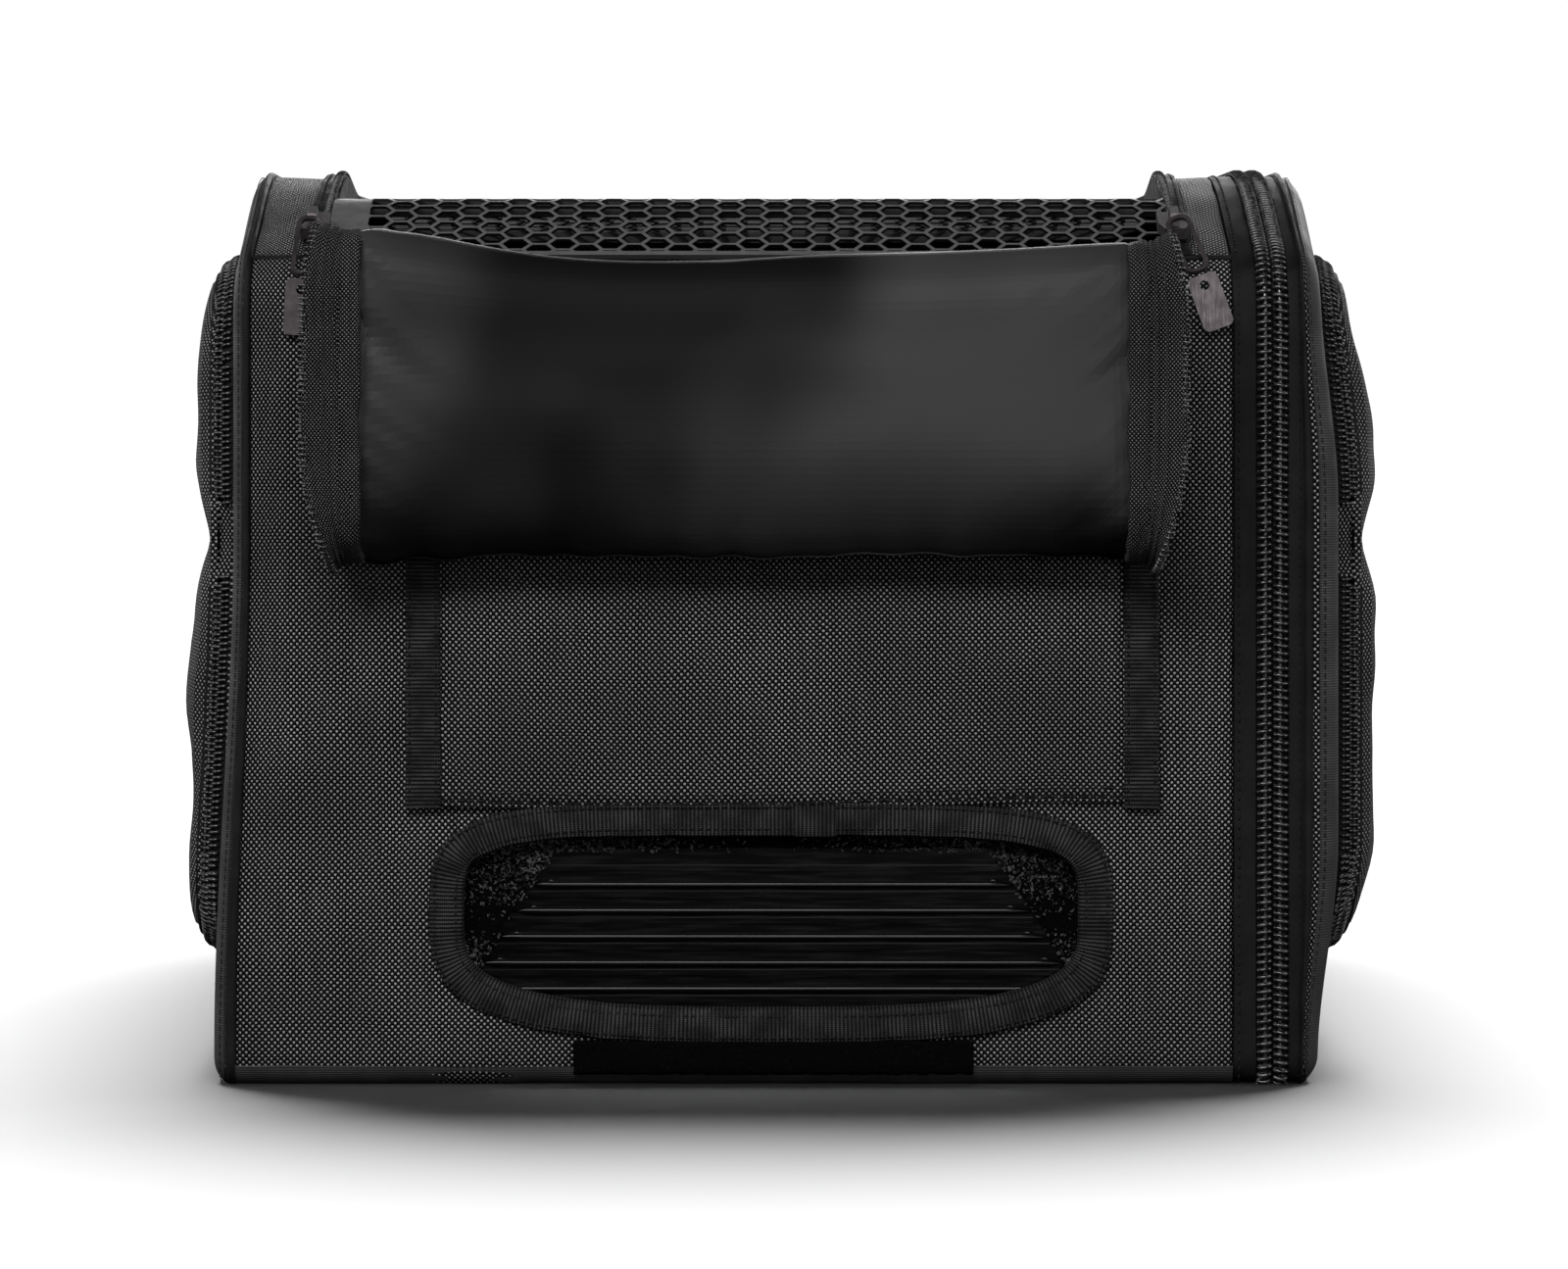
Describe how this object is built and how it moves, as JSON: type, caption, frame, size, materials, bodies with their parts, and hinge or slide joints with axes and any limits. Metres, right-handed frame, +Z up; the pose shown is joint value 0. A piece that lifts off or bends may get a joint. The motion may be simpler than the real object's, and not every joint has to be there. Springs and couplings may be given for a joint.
{
  "type": "pet carrier bag",
  "caption": "Soft-sided zipped pet carrier with an arched mesh roof, a rolled-forward roof cover, a zipped side door and bulging side pockets.",
  "frame": {"origin": "on the ground under the centre of the bag's bounding box", "axes": "+Z up, +Y from the shown short front end to the back, +X towards the zipped door"},
  "size_m": [0.387, 0.502, 0.2862],
  "materials": {
    "ballistic_fabric": "coarse ballistic weave, matt with pale flecks",
    "smooth_tape": "smooth woven tape, matt",
    "satin_lining": "satin lining with a soft sheen",
    "mat_fabric": "brushed polyester",
    "grosgrain": "ribbed grosgrain webbing",
    "roof_mesh": "grey hexagon-hole mesh",
    "loop_pile": "hook-and-loop pile, matt",
    "gloss_plate": "glossy black, ribbed",
    "zip_coil": "nylon coil, semi-gloss",
    "gunmetal": "gunmetal, brushed",
    "stiffener": "fibreboard and rod, matt"
  },
  "bodies": {
    "bag": {"back_handle": "grosgrain", "back_panel": "ballistic_fabric", "floor_board": "stiffener", "floor_mat": "mat_fabric", "floor_panel": "ballistic_fabric", "front_panel": "ballistic_fabric", "left_cover_slider": "gunmetal", "left_lower_pocket_zip": "zip_coil", "left_piping": "smooth_tape", "left_ring_tab": "grosgrain", "left_side_panel": "ballistic_fabric", "left_upper_pocket_zip": "zip_coil", "loop_strip": "loop_pile", "ribbed_plate": "gloss_plate", "ridge_stay": "stiffener", "right_cover_slider": "gunmetal", "roof_band_left": "ballistic_fabric", "roof_band_right": "ballistic_fabric", "roof_mesh": "roof_mesh", "roof_rear": "ballistic_fabric", "roof_tape_left": "smooth_tape", "roof_tape_right": "smooth_tape", "sleeve_binding_left": "grosgrain", "sleeve_binding_right": "grosgrain", "sleeve_panel": "ballistic_fabric", "window_binding": "grosgrain", "window_loop_band": "loop_pile", "zip_coil_body": "zip_coil", "zip_tape_body": "smooth_tape"},
    "door": {"right_side_panel": "ballistic_fabric", "right_piping": "smooth_tape", "zip_tape_door": "smooth_tape", "zip_coil_door": "zip_coil", "right_upper_pocket_zip": "zip_coil", "right_lower_pocket_zip": "zip_coil", "right_ring_tab": "grosgrain"},
    "roof_cover": {"cover_roll": "satin_lining", "cover_tape_left": "smooth_tape", "cover_tape_right": "smooth_tape"},
    "main_slider": {"zip_slider": "gunmetal"},
    "main_pull": {"zip_pull": "gunmetal"},
    "left_pull": {"left_cover_link": "gunmetal", "left_cover_tag": "gunmetal"},
    "right_pull": {"right_cover_link": "gunmetal", "right_cover_tag": "gunmetal"},
    "left_ring": {"left_d_ring": "gunmetal"},
    "right_ring": {"right_d_ring": "gunmetal"},
    "left_upper_cover": {"left_upper_pocket_cover": "ballistic_fabric"},
    "left_lower_cover": {"left_lower_pocket_cover": "ballistic_fabric"},
    "right_upper_cover": {"right_upper_pocket_cover": "ballistic_fabric"},
    "right_lower_cover": {"right_lower_pocket_cover": "ballistic_fabric"},
    "left_upper_slider": {"left_upper_pocket_slider": "gunmetal"},
    "left_upper_pull": {"left_upper_pocket_pull": "gunmetal"},
    "left_lower_slider": {"left_lower_pocket_slider": "gunmetal"},
    "left_lower_pull": {"left_lower_pocket_pull": "gunmetal"},
    "right_upper_slider": {"right_upper_pocket_slider": "gunmetal"},
    "right_upper_pull": {"right_upper_pocket_pull": "gunmetal"},
    "right_lower_slider": {"right_lower_pocket_slider": "gunmetal"},
    "right_lower_pull": {"right_lower_pocket_pull": "gunmetal"}
  },
  "joints": [
    {"name": "door_hinge", "type": "hinge", "parent": "bag", "child": "door", "pos_m": [0.16115, 0, 0.001], "axis": [0, 1, 0], "range_deg": [0, 60]},
    {"name": "roof_cover_hinge", "type": "hinge", "parent": "bag", "child": "roof_cover", "pos_m": [-0.012, -0.2168, 0.2565], "axis": [-1, 0, 0], "range_deg": [0, 120]},
    {"name": "main_slider_travel", "type": "slide", "parent": "bag", "child": "main_slider", "axis": [0, 0, 1], "range_m": [0, 0.165]},
    {"name": "main_pull_swing", "type": "hinge", "parent": "main_slider", "child": "main_pull", "pos_m": [0.151, 0.2389, 0.048], "axis": [1, 0, 0], "range_deg": [0, 120]},
    {"name": "left_pull_swing", "type": "hinge", "parent": "bag", "child": "left_pull", "pos_m": [-0.1475, -0.199, 0.269], "axis": [0, 1, 0], "range_deg": [-20, 20]},
    {"name": "right_pull_swing", "type": "hinge", "parent": "bag", "child": "right_pull", "pos_m": [0.122, -0.199, 0.269], "axis": [0, 1, 0], "range_deg": [-30, 6]},
    {"name": "left_ring_swing", "type": "hinge", "parent": "bag", "child": "left_ring", "pos_m": [-0.1811, 0.007, 0.2735], "axis": [0, 1, 0], "range_deg": [0, 140]},
    {"name": "right_ring_swing", "type": "hinge", "parent": "door", "child": "right_ring", "pos_m": [0.1763, 0.007, 0.2735], "axis": [0, -1, 0], "range_deg": [0, 140]},
    {"name": "left_upper_cover_hinge", "type": "hinge", "parent": "bag", "child": "left_upper_cover", "pos_m": [-0.1766, 0.007, 0.178], "axis": [0, -1, 0], "range_deg": [0, 55]},
    {"name": "left_upper_slider_travel", "type": "slide", "parent": "bag", "child": "left_upper_slider", "axis": [0, 0, 1], "range_m": [0, 0.022]},
    {"name": "left_upper_pull_swing", "type": "hinge", "parent": "left_upper_slider", "child": "left_upper_pull", "pos_m": [-0.1856, 0.2066, 0.189], "axis": [0, 1, 0], "range_deg": [0, 110]},
    {"name": "left_lower_cover_hinge", "type": "hinge", "parent": "bag", "child": "left_lower_cover", "pos_m": [-0.1766, 0.007, 0.158], "axis": [0, 1, 0], "range_deg": [0, 55]},
    {"name": "left_lower_slider_travel", "type": "slide", "parent": "bag", "child": "left_lower_slider", "axis": [0, 0, -1], "range_m": [0, 0.064]},
    {"name": "left_lower_pull_swing", "type": "hinge", "parent": "left_lower_slider", "child": "left_lower_pull", "pos_m": [-0.1856, 0.2066, 0.149], "axis": [0, 1, 0], "range_deg": [0, 110]},
    {"name": "right_upper_cover_hinge", "type": "hinge", "parent": "door", "child": "right_upper_cover", "pos_m": [0.1718, 0.007, 0.178], "axis": [0, 1, 0], "range_deg": [0, 55]},
    {"name": "right_upper_slider_travel", "type": "slide", "parent": "door", "child": "right_upper_slider", "axis": [0, 0, 1], "range_m": [0, 0.022]},
    {"name": "right_upper_pull_swing", "type": "hinge", "parent": "right_upper_slider", "child": "right_upper_pull", "pos_m": [0.1808, 0.2066, 0.189], "axis": [0, -1, 0], "range_deg": [0, 110]},
    {"name": "right_lower_cover_hinge", "type": "hinge", "parent": "door", "child": "right_lower_cover", "pos_m": [0.1718, 0.007, 0.158], "axis": [0, -1, 0], "range_deg": [0, 55]},
    {"name": "right_lower_slider_travel", "type": "slide", "parent": "door", "child": "right_lower_slider", "axis": [0, 0, -1], "range_m": [0, 0.064]},
    {"name": "right_lower_pull_swing", "type": "hinge", "parent": "right_lower_slider", "child": "right_lower_pull", "pos_m": [0.1808, 0.2066, 0.149], "axis": [0, -1, 0], "range_deg": [0, 110]}
  ]
}
